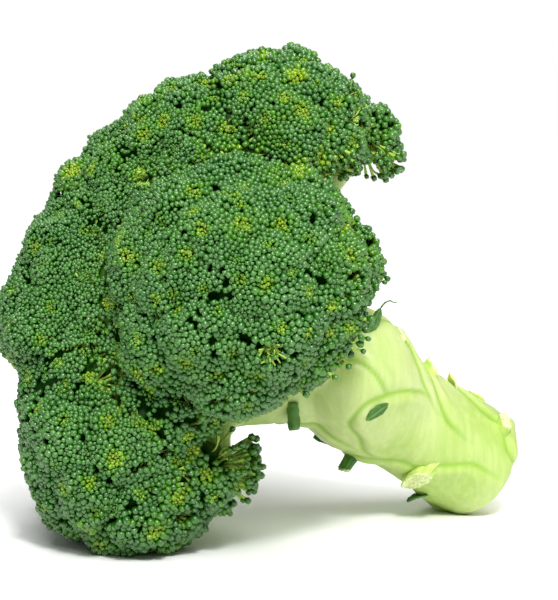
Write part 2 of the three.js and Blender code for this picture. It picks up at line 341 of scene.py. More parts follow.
class Crown:
    """One crown's dome: its middle, axis, radius, lobes and branch."""

    def __init__(self, name):
        middle, self.radius, lobes, self.branch = CROWNS[name]
        self.name, self.middle = name, np.array(middle, float)
        self.axis = unit(self.middle - [0, 0, CROWN_AIM_HEIGHT])
        self.turn = turn_from_up(self.axis)
        reach = math.radians(105)
        self.lobes = sunflower(lobes, reach) @ self.turn.T
        self.lobe_width = 1.15 * math.sqrt(2 * (1 - math.cos(reach)) / lobes)
        self.tip = self.middle + self.axis * (BRANCH_SINK - UNDERSIDE_DEPTH * self.radius)

    def surface(self, directions):
        """The dome's radius along each unit direction, and its outward normal there."""
        cos = directions @ self.lobes.T
        nearest = cos.argmax(1)
        lobe = self.lobes[nearest]
        angle = np.arccos(np.clip(cos.max(1), -1, 1))
        share = np.clip(angle / self.lobe_width, 0, 1)
        radius = self.radius * (1 + LOBE_HEIGHT * (0.5 - share**2))
        away = unit(directions - (directions * lobe).sum(1, keepdims=True) * lobe)
        slope = 2 * LOBE_HEIGHT * share / self.lobe_width
        return radius, unit(directions + slope[:, None] * away)

    def underside(self, directions, lift=0.0):
        """How far the underside's cone lets a direction reach; lift raises the cone into the crown."""
        z = directions @ self.axis
        steep = UNDERSIDE_SLOPE * np.sqrt(np.maximum(1 - z**2, 0)) - z
        return np.where(steep > 1e-3, (self.radius * UNDERSIDE_DEPTH - lift) / np.maximum(steep, 1e-3), 1e3)

    def tilt(self, directions):
        """The angle between each direction and the crown's axis, in degrees."""
        return np.degrees(np.arccos(np.clip(directions @ self.axis, -1, 1)))


CROWN = {name: Crown(name) for name in CROWNS}
CROWN_LIST = list(CROWN.values())

RIM_TILT = 114  # how far from a crown's axis its buds reach, in degrees, but for these crowns
RIM_TILTS = {
    "lower": 128, "lower_inner": 130, "left_lower": 138, "left_upper": 140, "upper_left": 138,
    "upper_middle": 134, "lower_rim": 80, "upper_rim": 104, "right": 104, "top_upper": 122, "top_lower": 122,
}


def rim_limit(crown, directions):
    """The tilt in degrees where a crown's buds end: lower down where it shows behind the front crown."""
    limit = np.full(len(directions), float(RIM_TILTS.get(crown.name, RIM_TILT)))
    if limit[0] > 130:
        limit += 38 * smoothstep(-directions[:, 1], 0.15, 0.5)
    if crown.name == "front":
        limit -= 13 * smoothstep(directions[:, 0], 0.0, 0.6)
    return limit


def meeting_planes(crown):
    """The plane where the crown's sphere meets each neighbour's: its normal, and its distance."""
    for other in CROWN_LIST:
        across = other.middle - crown.middle
        apart = np.linalg.norm(across)
        if other is not crown and apart < crown.radius + other.radius:
            yield across / apart, (apart**2 + crown.radius**2 - other.radius**2) / (2 * apart)


def outside_neighbours(crown, points, margin):
    """True for points on the crown's own side of every meeting plane."""
    keep = np.ones(len(points), bool)
    for normal, meet in meeting_planes(crown):
        keep &= (points - crown.middle) @ normal < meet - margin
    return keep


def stalk_radius(height):
    """The stalk's radius at a height, before its scales."""
    foot = STALK_WAIST_RADIUS + (STALK_END_RADIUS - STALK_WAIST_RADIUS) * (
        1 - smoothstep(height, 0, STALK_WAIST_HEIGHT)
    )
    swell = smoothstep(height, STALK_WAIST_HEIGHT, STALK_SHOULDER_HEIGHT)
    top = np.clip((height - STALK_SHOULDER_HEIGHT) / (STALK_HEIGHT - STALK_SHOULDER_HEIGHT), 0, 1)
    return (foot + (STALK_SHOULDER_RADIUS - STALK_WAIST_RADIUS) * swell) * np.sqrt(1 - 0.8 * top**2)


def clear_of_stalk(points, margin):
    """True for points outside the stalk by the margin."""
    distance = np.hypot(points[:, 0], points[:, 1])
    return (points[:, 2] > STALK_HEIGHT) | (distance > stalk_radius(points[:, 2]) + margin)


# %% [markdown]
# ## One skin over all the crowns
#
# Neighbouring crowns press together, so their buds lie on one common skin with soft valleys in it. With
# the distances d_i from a point to every dome, f = -k log(sum of exp(-d_i / k)) is a *smooth smallest
# distance*, and the skin is where f = 0. From a crown's middle, a few steps r = r - f along each ray
# reach it.


# %% The common skin
BLEND = 4.5  # how softly neighbouring domes run into each other, in mm
MIDDLES = np.array([crown.middle for crown in CROWN_LIST])
RADII = np.array([crown.radius for crown in CROWN_LIST])


def skin_distance(points):
    """The smooth smallest distance from each point to the crowns' spheres."""
    d = np.linalg.norm(points[:, None] - MIDDLES, axis=2) - RADII
    least = d.min(1)
    return least - BLEND * np.log(np.exp(-(d - least[:, None]) / BLEND).sum(1))


def skin(crown, directions):
    """Points on the common skin along directions from a crown's middle, with its lobes, and their normals."""
    radius = np.full(len(directions), crown.radius)
    for _ in range(8):
        radius = radius - skin_distance(crown.middle + directions * radius[:, None])
        radius = np.clip(radius, 0, 1.35 * crown.radius)
    lobed, normal = crown.surface(directions)
    # A lobe swells like a cushion, and a crease runs between it and the next.
    cos = np.sort(directions @ crown.lobes.T, axis=1)[:, -2:]
    between = np.arccos(np.clip(cos[:, 0], -1, 1)) - np.arccos(np.clip(cos[:, 1], -1, 1))
    crease = 1.8 * np.exp(-between * crown.radius / 3.6)
    points = crown.middle + directions * (radius + lobed - crown.radius)[:, None]
    uneven = 1.4 * noise3(points, 48, 11, 2) + 0.7 * noise3(points, 17, 12, 2) - 0.5
    points += directions * (uneven - crease)[:, None]
    weights = np.exp(-(np.linalg.norm(points[:, None] - MIDDLES, axis=2) - RADII) / BLEND)
    common = unit(((points[:, None] - MIDDLES) * weights[..., None]).sum(1))
    return points, unit(normal + common)


# %% [markdown]
# ## Flower buds
#
# A bud is a small egg with four sepals: eight corners round it, every second one drawn in a little where
# two sepals meet. It has eight quads and sixteen triangles. Buds sit in *clusters*. In a cluster the
# youngest buds are in the middle, small and yellow-green, and the oldest at the edge, large and
# blue-green. Each ring's area is filled by buds of that ring's size: bud k lies at the radius where the
# area covered so far is the sum of the buds' own areas, turned by the golden angle from the last. Then
# all the buds push their neighbours away until none overlap, which packs them as tightly and as unevenly
# as real ones.


# %% The bud's shape
BUD_RINGS = [(0.42, 0.48), (0.82, 0.41)]  # height and radius


def bud_template():
    """The points, quads and tris of a bud of length 1 and width 1 along +Z, and for each point its share of
    the bud's length and how near it is to the line where two sepals meet, which the material darkens as
    painted shade."""
    around = 8
    turn, odd = ring_turns(around), np.arange(around) % 2
    seam = np.where(odd, 0.86, 1.06)
    points = [
        [r * s * math.cos(a), r * s * math.sin(a), z] for z, r in BUD_RINGS for a, s in zip(turn, seam)
    ]
    points = np.array(points + [[0, 0, 0], [0, 0, 0.95]])
    quads, below, above = ring_faces(len(BUD_RINGS), around)
    seam_shade = np.concatenate([0.5 * odd, odd, [0, 1]])
    return points, quads, np.concatenate([below, above]), points[:, 2], seam_shade


BUD_POINTS, BUD_QUADS, BUD_TRIS, BUD_SHARE, BUD_SEAM_SHADE = bud_template()

# %% Packing the buds
CLUSTER_SPACING = 10.5  # from tip to tip, in mm
CLUSTER_REACH = 9.0  # how far from its tip a cluster's buds start, in mm
BUD_WIDTHS = (1.35, 2.4)  # the narrowest and widest full-grown buds, in mm
BUD_FOOT = 1.8  # how deep under the skin a bud's foot is at least, in mm


def cluster_pattern(bud_width, reach):
    """Radii, widths and ages of a cluster's buds, from its middle out to reach, up to bud_width wide."""
    radii, widths, ages, area = [], [], [], 0.0
    while True:
        radius = math.sqrt(area / math.pi)
        if radius > reach:
            return np.array(radii), np.array(widths), np.array(ages)
        age = float(smoothstep(np.array(radius), 0.2, 4.2))
        width = bud_width * (0.46 + 0.54 * age)
        radii.append(math.sqrt((area + 0.4 * width**2) / math.pi))
        widths.append(width)
        ages.append(age)
        area += 0.64 * width**2


def nearest(points, targets, count):
    """The indices of each point's nearest targets, nearest first."""
    tree = KDTree(len(targets))
    for i, place in enumerate(targets):
        tree.insert(place, i)
    tree.balance()
    return np.array([[found[1] for found in tree.find_n(place, count)] for place in points])


def grow_clusters():
    """The clusters' tips on the common skin: place, normal, crown index and full-grown bud width of each."""
    places, normals, crowns = [], [], []
    for index, crown in enumerate(CROWN_LIST):
        count = int(4 * math.pi * crown.radius**2 / (0.87 * CLUSTER_SPACING**2))
        d = sunflower(count, math.pi * 0.97) @ crown.turn.T
        d = unit(d + rng.normal(0, 0.13 * CLUSTER_SPACING / crown.radius, d.shape))
        place, normal = skin(crown, d)
        keep = outside_neighbours(crown, place, -2.5) & clear_of_stalk(place, 0.5)
        keep &= crown.tilt(d) < rim_limit(crown, d) + 8
        places.append(place[keep])
        normals.append(normal[keep])
        crowns.append(np.full(keep.sum(), index))
    places, normals, crowns = (np.concatenate(a) for a in (places, normals, crowns))
    # Buds far from the head's tip opened first and are larger.
    grown = np.linalg.norm(places - [0, 10, 165], axis=1) / 110
    width = np.clip(0.95 + 1.6 * grown + rng.normal(0, 0.08, len(grown)), *BUD_WIDTHS)
    return places, normals, crowns, width


def start_buds(places, normals, crowns, full):
    """Every cluster's own pattern, before the buds push each other: places, widths, ages and clusters."""
    rows = []
    for i, (place, normal) in enumerate(zip(places, normals)):
        radius, width, age = cluster_pattern(full[i], CLUSTER_REACH)
        angle = np.arange(len(radius)) * GOLDEN + rng.uniform(0, 7)
        first, second = side_axes(normal)
        flat = radius * np.cos(angle), radius * np.sin(angle)
        spot = place + flat[0][:, None] * first + flat[1][:, None] * second
        rows.append(np.column_stack([spot, width, age, np.full(len(age), i)]))
    rows = np.concatenate(rows)
    rows[:, :3] += rng.normal(0, 0.16, (len(rows), 3)) * rows[:, 3:4]
    rows[:, 3] *= np.clip(rng.lognormal(0, 0.17, len(rows)), 0.68, 1.32)
    owner = rows[:, 5].astype(int)
    # Some clusters are further on than others, and show little or nothing of their young middle.
    ripe = (rng.uniform(-0.3, 0.65, len(full)) + 0.22 * noise3(places, 45, 61, 2))[owner]
    return rows[:, :3], rows[:, 3], np.clip(rows[:, 4] + ripe + rng.normal(0, 0.08, len(rows)), 0, 1), owner


def on_skin(places, crown_of):
    """Places moved along rays from their crowns' middles onto the skin, and the normals there."""
    normals = np.empty_like(places)
    for index, crown in enumerate(CROWN_LIST):
        mine = crown_of == index
        places[mine], normals[mine] = skin(crown, unit(places[mine] - crown.middle))
    return places, normals


def settle(places, widths, crown_of, rounds=4, steps=5):
    """Buds that are closer than their widths move apart along the skin."""
    for _ in range(rounds):
        near = nearest(places, places, 10)[:, 1:]
        want = 0.49 * (widths[:, None] + widths[near])
        for _ in range(steps):
            apart = places[:, None] - places[near]
            distance = np.maximum(np.linalg.norm(apart, axis=2), 0.05)
            push = np.clip(want - distance, 0, 0.6) / distance
            places = places + 0.33 * (apart * push[..., None]).sum(1)
            places, normals = on_skin(places, crown_of)
    return places, normals, near


cluster_place, cluster_normal, cluster_crown, cluster_width = grow_clusters()
place, width, age, owner = start_buds(cluster_place, cluster_normal, cluster_crown, cluster_width)
keep = np.zeros(len(place), bool)
for index in range(len(CROWN_LIST)):
    mine, heads = np.where(cluster_crown[owner] == index)[0], np.where(cluster_crown == index)[0]
    keep[mine] = heads[nearest(place[mine], cluster_place[heads], 1)[:, 0]] == owner[mine]
place, width, age, owner = (a[keep] for a in (place, width, age, owner))
place, _ = on_skin(place, cluster_crown[owner])
place, normal, near = settle(place, width, cluster_crown[owner])
# A bud still squeezed to less than two thirds of its room is left out: of each such pair, the younger goes.
distance = np.linalg.norm(place[:, None] - place[near], axis=2)
squeezed = distance < 0.28 * (width[:, None] + width[near])
keep = ~(squeezed & (age[:, None] <= age[near])).any(1)
for index, crown in enumerate(CROWN_LIST):
    mine = np.where(cluster_crown[owner] == index)[0]
    d = unit(place[mine] - crown.middle)
    limit = rim_limit(crown, d) + 6 * noise3(place[mine], 18, 3)
    inside = outside_neighbours(crown, place[mine], -1.0) & (crown.tilt(d) < limit)
    # Near the rim and high on the head many clusters are late, and their buds are still light.
    late = smoothstep(crown.tilt(d), 80, 108) * rng.uniform(0.1, 0.85, len(mine))
    patch = smoothstep(noise3(place[mine], 24, 33, 2), 0, 0.5)
    late = np.maximum(late, 0.5 * smoothstep(place[mine, 0], 0, 40) * patch)
    age[mine] *= 1 - late * (noise3(place[mine], 16, 31) > -0.2)
    keep[mine] &= inside & clear_of_stalk(place[mine], 1.0) & (table_height(place[mine]) > -1.5)

OPEN_PLACES = [  # crown, direction from its middle, reach in mm, number of stems, share that end in a bud
    ("front", (-0.46, -0.89, 0.02), 4.6, 36, 0.5),
    ("upper_right", (0.35, -0.80, -0.45), 4.5, 14, 0.7),
    ("upper_right", (0.70, -0.60, -0.35), 4.5, 14, 0.7),
    ("back_middle", (-0.5, 0.6, 0.6), 4.5, 14, 0.8),
]
OPEN_CENTRES = []
for name, direction, reach, _, _ in OPEN_PLACES:
    spot, out = skin(CROWN[name], unit(np.array([direction])))
    OPEN_CENTRES.append((spot[0], out[0]))
    keep &= np.linalg.norm(place - spot, axis=1) > reach * (0.72 + 0.2 * noise3(place, 5, 6, 1))
place, width, age, owner, normal = (a[keep] for a in (place, width, age, owner, normal))
from_tip = place - cluster_place[owner]
spread = np.linalg.norm(from_tip, axis=1) / (0.5 * CLUSTER_SPACING)
# A cluster is a low mound, and its buds lean away from its tip.
mound = 0.9 * np.clip(1 - spread**2, -0.3, 1)
point = unit(normal + 0.26 * from_tip / (0.5 * CLUSTER_SPACING) + rng.normal(0, 0.24, normal.shape))
length = width * rng.uniform(1.3, 1.7, len(width))
sunk = np.maximum(length - 0.62 * width, BUD_FOOT)
foot = place + normal * (mound - 0.35 + rng.normal(0, 0.26, len(width)))[:, None] - sunk[:, None] * point
print("clusters:", len(cluster_place), "buds:", len(place))


def add_buds(batch, foot, point, width, length, age):
    """Adds one bud for each row. Every corner carries its bud's age and its own share of the bud's length."""
    n = len(foot)
    a, b = side_axes(point)
    spin = rng.uniform(0, 2 * math.pi, n)[:, None]
    x, y = np.cos(spin) * a + np.sin(spin) * b, np.cos(spin) * b - np.sin(spin) * a
    shape = BUD_POINTS[None] * np.stack([width, width, length], 1)[:, None]
    points = foot[:, None] + shape[..., :1] * x[:, None] + shape[..., 1:2] * y[:, None]
    points += shape[..., 2:] * point[:, None]
    # The lowest buds carry the head's weight and are pressed flat by the table.
    points = raised(points, 0.02)
    shift = (np.arange(n) * len(BUD_POINTS))[:, None, None]
    batch.add(
        points.reshape(-1, 3),
        (BUD_QUADS[None] + shift).reshape(-1, 4),
        (BUD_TRIS[None] + shift).reshape(-1, 3),
        age=np.repeat(age, len(BUD_POINTS)),
        share=np.tile(BUD_SHARE, n),
        seam=np.tile(BUD_SEAM_SHADE, n),
        tone=np.repeat(rng.uniform(0, 1, n), len(BUD_POINTS)),
    )


# %% [markdown]
# ## Twigs
#
# Under the buds, each cluster has a twig that starts at the branch's tip and ends just below the
# cluster's middle. Short stalks run from there to the buds. Only the clusters near a crown's rim show
# theirs, so only those are made. The inside of a crown is its *core*, a dome a little smaller than the
# one the buds stand on, drawn in under the rim so that the twigs show from below. Its dark green is
# painted shade between the buds.


# %% Cores and twigs
def icosphere(detail):
    """Unit icosphere points and triangles."""
    bm = bmesh.new()
    bmesh.ops.create_icosphere(bm, subdivisions=detail, radius=1)
    points = np.array([v.co[:] for v in bm.verts])
    tris = np.array([[v.index for v in f.verts] for f in bm.faces])
    bm.free()
    return unit(points), tris


BALL_POINTS, BALL_TRIS = icosphere(5)
CORE_INSET = 3.9  # how far under the skin the core is, in mm, but for the rim, where it is drawn in further


def add_core(batch, crown):
    """The body under a crown's buds: its dark green is painted shade, and it is paler towards the branch."""
    d = BALL_POINTS
    tilt = crown.tilt(d)
    outer = np.linalg.norm(skin(crown, d)[0] - crown.middle, axis=1)
    wide = rim_limit(crown, d) - RIM_TILT  # a crown whose buds reach further down has a deeper core
    inset = CORE_INSET + 0.2 * crown.radius * smoothstep(tilt - wide, 72, 104)
    lift = crown.radius * (0.16 - 0.015 * np.maximum(wide, 0))
    reach = np.minimum(outer - inset, crown.underside(d, lift))
    for normal, meet in meeting_planes(crown):
        toward = d @ normal
        cut = np.maximum((meet + 0.4) / np.maximum(toward, 1e-3), 1.0)
        reach = np.where(toward > 1e-3, np.minimum(reach, cut), reach)
    points = raised(crown.middle + d * reach[:, None], 0.8)
    age = 1 - 0.75 * smoothstep(tilt, 80, 135)
    batch.add(points, [], BALL_TRIS, age=age, share=np.full(len(d), -1.0), tone=np.zeros(len(d)))


def add_stems(batch, lines, thick, around, age, gain):
    """Tubes along lines with radii thick. Their age grows from age by gain, so their ends are greener."""
    points, quads, tris, t = tubes(lines, thick, around)
    batch.add(points, quads, tris, age=age + gain * t, share=np.full(len(t), 2.0), tone=t)


def add_twigs(batch, crown, index):
    """Twigs to the clusters near the rim, and a short stalk to each of their buds."""
    direction = unit(cluster_place - crown.middle)
    rim = np.where((cluster_crown == index) & (crown.tilt(direction) > 62))[0]
    if len(rim) == 0:
        return
    ends = cluster_place[rim] - 5.0 * cluster_normal[rim]
    start = np.repeat(crown.tip[None] - 2 * crown.axis, len(rim), 0)
    bend = start + 0.5 * (ends - start) - crown.axis * 0.06 * crown.radius - direction[rim] * 0.5
    lines = bezier(start, bend, ends, 9)
    thick = np.linspace(0.42, 0.2, 9)[None] * np.sqrt(crown.branch) * rng.uniform(0.85, 1.15, (len(rim), 1))
    add_stems(batch, lines, thick, 7, 0.0, 0.3)
    hub = np.zeros(cluster_place.shape)
    hub[rim] = ends
    tilt = crown.tilt(unit(place - crown.middle))
    chosen = np.where(np.isin(owner, rim) & (tilt > 74))[0]
    if len(chosen) == 0:
        return
    start, end = hub[owner[chosen]], foot[chosen] + 0.3 * point[chosen]
    reach = np.linalg.norm(end - start, axis=1)[:, None]
    bend = 0.5 * (start + end) + 0.25 * reach * (unit(end - start) - point[chosen])
    lines = bezier(start, bend, end, 5)
    thick = np.array([0.42, 0.36, 0.34, 0.36, 0.5])[None] * (0.6 + 0.25 * width[chosen, None])
    add_stems(batch, lines, thick, 5, 0.25, 0.3)


def add_open_place(stems, buds, centre, out, reach, count, budded):
    """Curly stems that spread from a hollow where a cluster has opened. Some end in a bud."""
    first, second = side_axes(out)
    angle = np.arange(count) * GOLDEN
    far = reach * np.sqrt((np.arange(count) + 0.6) / count) * rng.uniform(0.75, 1.1, count)
    spoke = np.cos(angle)[:, None] * first + np.sin(angle)[:, None] * second
    start = centre - 4.2 * out + 0.25 * far[:, None] * spoke
    end = centre + far[:, None] * spoke + rng.uniform(-1.2, 1.0, (count, 1)) * out
    bend = 0.45 * start + 0.55 * end + rng.uniform(0.8, 2.6, (count, 1)) * out
    bend += rng.normal(0, 0.8, start.shape)
    lines = bezier(start, bend, end, 9)
    lines = lines + np.linspace(0, 1, 9)[None, :, None] ** 3 * rng.normal(0, 0.9, (count, 1, 3))
    thick = np.linspace(0.42, 0.2, 9)[None] * rng.uniform(0.8, 1.2, (count, 1))
    add_stems(stems, lines, thick, 6, 0.2, 0.3)
    chosen = rng.uniform(0, 1, count) < budded
    heading = unit(lines[chosen, -1] - lines[chosen, -2])
    size = rng.uniform(1.1, 2.0, chosen.sum())
    ages = rng.uniform(0.25, 1, len(size))
    add_buds(buds, lines[chosen, -1] - 0.2 * heading, heading, size, 1.4 * size, ages)


def add_strays(stems, buds, crown, count, low, high, side):
    """Single buds on long curved stalks that stick out under the rim on one side of a crown."""
    turn = rng.normal(0, 0.6, count)
    across = unit(np.cross(crown.axis, unit(np.asarray(side, float))))
    toward = np.cross(across, crown.axis)
    tilt = np.radians(rng.uniform(low, high, count))[:, None]
    spoke = np.cos(turn)[:, None] * toward + np.sin(turn)[:, None] * across
    d = np.cos(tilt) * crown.axis + np.sin(tilt) * spoke
    radius, _ = crown.surface(d)
    reach = np.minimum(radius, crown.underside(d) + 4)
    start = crown.middle + d * (reach - 6)[:, None]
    away = unit(d * 0.8 - crown.axis * rng.uniform(0.0, 0.9, (count, 1)) + rng.normal(0, 0.35, (count, 3)))
    end = crown.middle + d * reach[:, None] + away * rng.uniform(0.3, 2.6, (count, 1)) ** 1.1
    keep = outside_neighbours(crown, end, 0.2) & clear_of_stalk(end, 1.2) & (table_height(end) > 2.5)
    start, end, away, d = (a[keep] for a in (start, end, away, d))
    bend = 0.5 * (start + end) + rng.normal(0, 1.3, start.shape)
    lines = bezier(start, bend, end, 6)
    thick = np.array([0.55, 0.42, 0.36, 0.34, 0.4, 0.55])[None] * rng.uniform(0.8, 1.15, (len(start), 1))
    add_stems(stems, lines, thick, 6, 0.2, 0.4)
    width = rng.uniform(1.5, 2.3, len(start))
    heading = unit(lines[:, -1] - lines[:, -2])
    add_buds(buds, end - 0.2 * heading, heading, width, 1.35 * width, rng.uniform(0.6, 1, len(start)))


# %% [markdown]
# ## Materials
#
# Colours are written as they look on a screen and turned into light amounts by `colour`. Each surface
# mixes two or three of them by noise in object coordinates and by the attributes that its mesh carries.


# %% Material tools
def colour(r, g, b):
    """Screen colour from 0 to 255 as linear light with full opacity."""
    light = [((c / 255 + 0.055) / 1.055) ** 2.4 if c > 10 else c / 255 / 12.92 for c in (r, g, b)]
    return (*light, 1.0)


class Shader:
    """A material's node tree with one Principled surface, and short ways to add nodes to it."""

    def __init__(self, name, **surface):
        self.material = bpy.data.materials.new(name)
        self.material.use_nodes = True
        self.tree = self.material.node_tree
        self.surface = self.tree.nodes["Principled BSDF"]
        for socket, value in surface.items():
            self.surface.inputs[socket.replace("_", " ")].default_value = value
        self.place = self.add("ShaderNodeTexCoord").outputs["Object"]

    def add(self, kind, **settings):
        """A new node with its settings; a setting that names an input sets that input."""
        node = self.tree.nodes.new(kind)
        for key, value in settings.items():
            if hasattr(node, key):
                setattr(node, key, value)
            else:
                self.put(node.inputs[key.replace("_", " ")], value)
        return node

    def put(self, socket, value):
        """Links an output to a socket, or sets the socket's value."""
        if isinstance(value, bpy.types.NodeSocket):
            self.tree.links.new(value, socket)
        else:
            socket.default_value = value

    def attribute(self, name):
        """A number that the mesh carries at each point."""
        return self.add("ShaderNodeAttribute", attribute_name=name).outputs["Fac"]

    def noise(self, scale, detail=3.0, roughness=0.55, stretch=None):
        """Noise of about 0 to 1 in object coordinates; scale is in repeats per metre."""
        place = self.place
        if stretch:
            turn = self.add("ShaderNodeMapping", Vector=place)
            turn.inputs["Rotation"].default_value = (0, math.radians(90 - AXIS_RISE_DEG), 0)
            turn.inputs["Scale"].default_value = stretch
            place = turn.outputs["Vector"]
        node = self.add("ShaderNodeTexNoise", Vector=place, Scale=scale, Detail=detail, Roughness=roughness)
        return node.outputs["Fac"]

    def span(self, value, low, high, to_low=0.0, to_high=1.0):
        """value mapped from low..high to to_low..to_high and held inside it."""
        node = self.add("ShaderNodeMapRange")
        for socket, number in zip(list(node.inputs)[:5], (value, low, high, to_low, to_high)):
            self.put(socket, number)
        return node.outputs["Result"]

    def over(self, base, paint, value, low=0.0, high=1.0, least=0.0, most=1.0):
        """A colour painted over a base, by the share least where value is low and most where it is high."""
        node = self.add("ShaderNodeMix", data_type="RGBA")
        for i, part in zip((0, 6, 7), (self.span(value, low, high, least, most), base, paint)):
            self.put(node.inputs[i], colour(*part) if isinstance(part, tuple) else part)
        return node.outputs[2]

    def math(self, operation, first, second):
        """Arithmetic on two numbers."""
        node = self.add("ShaderNodeMath", operation=operation)
        self.put(node.inputs[0], first)
        self.put(node.inputs[1], second)
        return node.outputs[0]

    def finish(self, base, rough=None, height=None, distance=0.0002, strength=0.5):
        """Links the colour, the roughness and the bump, and returns the material."""
        self.put(self.surface.inputs["Base Color"], base)
        if rough is not None:
            self.put(self.surface.inputs["Roughness"], rough)
        if height is not None:
            bump = self.add("ShaderNodeBump", Height=height, Distance=distance, Strength=strength)
            self.tree.links.new(bump.outputs["Normal"], self.surface.inputs["Normal"])
        return self.material


def bud_material():
    """Waxy buds: yellow-green when young, blue-green when old. The pale tip is partly their waxy coat and
    partly a painted highlight; painted shade darkens each bud's foot and the creases where sepals meet.
    """
    s = Shader("bud_skin", Specular_IOR_Level=0.6)
    age, share = s.attribute("age"), s.attribute("share")
    skin = s.over((178, 212, 26), (98, 162, 16), age, 0.0, 0.45)
    skin = s.over(skin, (26, 92, 6), age, 0.4, 1.0)
    skin = s.over(skin, (74, 138, 12), s.noise(55, 2), 0.38, 0.62, 0.0, 0.4)
    skin = s.over(skin, (10, 68, 8), s.attribute("tone"), most=0.5)
    # Painted shade: each bud darkens towards its foot, down in the shade between its neighbours.
    skin = s.over(skin, (14, 74, 0), share, 0.75, 0.1, 0.0, 0.75)
    # The pale tip is partly the buds' own waxy coat and partly a painted highlight.
    bloom_and_highlight = s.math("MULTIPLY", s.span(share, 0.55, 0.97), s.span(age, 0.3, 1.0, 0.1, 0.62))
    bloom_and_highlight = s.math("MULTIPLY", bloom_and_highlight, s.span(s.noise(150, 2), 0.35, 0.65, 0.4, 1.0))
    skin = s.over(skin, (134, 190, 110), bloom_and_highlight)
    # Painted shade: dark lines where the sepals meet, and a dark dimple at the tip.
    skin = s.over(skin, (16, 70, 4), s.attribute("seam"), most=0.6)
    fine = s.noise(2600, 2)
    return s.finish(skin, s.span(fine, 0.3, 0.7, 0.24, 0.36), fine, 0.00008, 0.4)


def twig_material():
    """Pale yellow-green twigs, and the inside behind them, whose dark green is painted shade."""
    s = Shader("twig_skin", Specular_IOR_Level=0.08)
    age = s.attribute("age")
    twig = s.over((205, 225, 120), (140, 180, 70), age, 0.0, 0.6)
    twig = s.over(twig, (165, 200, 92), s.noise(300), 0.35, 0.7, 0.0, 0.5)
    # The core's dark green and its darker patches are painted shade between the buds; its paler colour
    # towards the branch is its own.
    inside = s.over((110, 156, 40), (12, 62, 0), age, 0.35, 0.95)
    inside = s.over(inside, (4, 40, 0), s.noise(500), 0.4, 0.65, 0.0, 0.6)
    base = s.over(inside, twig, s.attribute("share"))
    rough = s.span(s.attribute("tone"), 0.0, 1.0, 0.45, 0.6)
    return s.finish(base, rough, s.noise(1500), 0.0001, 0.5)


def stem_material():
    """The stalk's skin: pale and smooth, greener up the branches, and darker green in the furrows
    between leaf scars, partly its own colour and partly painted shade.
    """
    s = Shader("stem_skin", Specular_IOR_Level=0.5, Subsurface_Weight=0.25, Subsurface_Scale=0.002)
    s.surface.inputs["Subsurface Radius"].default_value = (1.0, 1.0, 0.35)
    skin = s.over((190, 206, 134), (163, 190, 92), s.noise(26, 2), 0.36, 0.64)
    skin = s.over(skin, (158, 190, 92), s.attribute("branch"), most=0.75)
    fibre = s.noise(420, 4, 0.6, stretch=(1.0, 1.0, 0.09))
    skin = s.over(skin, (226, 236, 176), fibre, 0.42, 0.7, 0.0, 0.2)
    # The furrows' darker green follows their depth: partly the skin's own colour, partly painted shade.
    skin = s.over(skin, (138, 178, 56), s.attribute("furrow"), 0.05, 0.8, 0.0, 0.95)
    skin = s.over(skin, (150, 178, 84), s.noise(900, 2), 0.66, 0.72, 0.0, 0.35)
    pith = s.over((226, 238, 170), (204, 224, 132), s.noise(700, 4), 0.35, 0.65)
    skin = s.over(skin, pith, s.attribute("cut"))
    height = s.math("ADD", s.math("MULTIPLY", fibre, 0.7), s.math("MULTIPLY", s.noise(1500), 0.3))
    return s.finish(skin, s.span(s.noise(200), 0.3, 0.7, 0.3, 0.44), height, 0.00025, 0.25)


def stub_material(name, light, deep):
    """Torn leaf stubs: green sides, and a pale stringy break with brown specks."""
    s = Shader(name)
    torn = s.attribute("torn")
    side = s.over(light, deep, s.noise(240), 0.35, 0.65)
    flesh = s.over((238, 244, 196), (196, 214, 128), s.noise(1100, 4, 0.7), 0.35, 0.65)
    flesh = s.over(flesh, (158, 150, 88), s.noise(1700, 2), 0.6, 0.68, 0.0, 0.6)
    rough = s.span(torn, 0.0, 1.0, 0.42, 0.72)
    return s.finish(s.over(side, flesh, torn), rough, s.noise(900, 5, 0.7), 0.0006, 0.6)


def leaf_material(name, deep, light, vein):
    """A small leaf: darker between its veins, lighter along the midrib and at the foot."""
    s = Shader(name, Roughness=0.45, Specular_IOR_Level=0.45)
    across, along = s.attribute("across"), s.attribute("along")
    base = s.over(deep, light, s.noise(320, 4), 0.35, 0.65)
    base = s.over(base, vein, across, 0.16, 0.0, 0.0, 0.7)
    slant = s.math("SUBTRACT", along, s.math("MULTIPLY", across, 0.5))
    line = s.add("ShaderNodeCombineXYZ", X=slant).outputs["Vector"]
    wave = s.add("ShaderNodeTexWave", Vector=line, Scale=3.0, Distortion=1.5).outputs["Fac"]
    base = s.over(base, vein, wave, 0.8, 1.0, 0.0, 0.35)
    base = s.over(base, vein, along, 0.15, 0.0, 0.0, 0.8)
    return s.finish(base, None, wave, 0.0003, 0.4)


BUD_SKIN, TWIG_SKIN, STEM_SKIN = bud_material(), twig_material(), stem_material()
STUB_FLESH = stub_material("stub_flesh", (200, 221, 122), (168, 200, 88))
GREEN_STUB = stub_material("green_stub_flesh", (84, 138, 44), (44, 96, 28))
BRACT_SKIN = leaf_material("bract_skin", (44, 96, 34), (72, 128, 50), (150, 188, 92))
YOUNG_SKIN = leaf_material("young_leaf_skin", (222, 230, 132), (200, 220, 104), (240, 244, 190))

# %% [markdown]
# ## Growing the crowns
#
# Each crown gives two pieces: its buds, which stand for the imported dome, and the twigs and core under
# them.

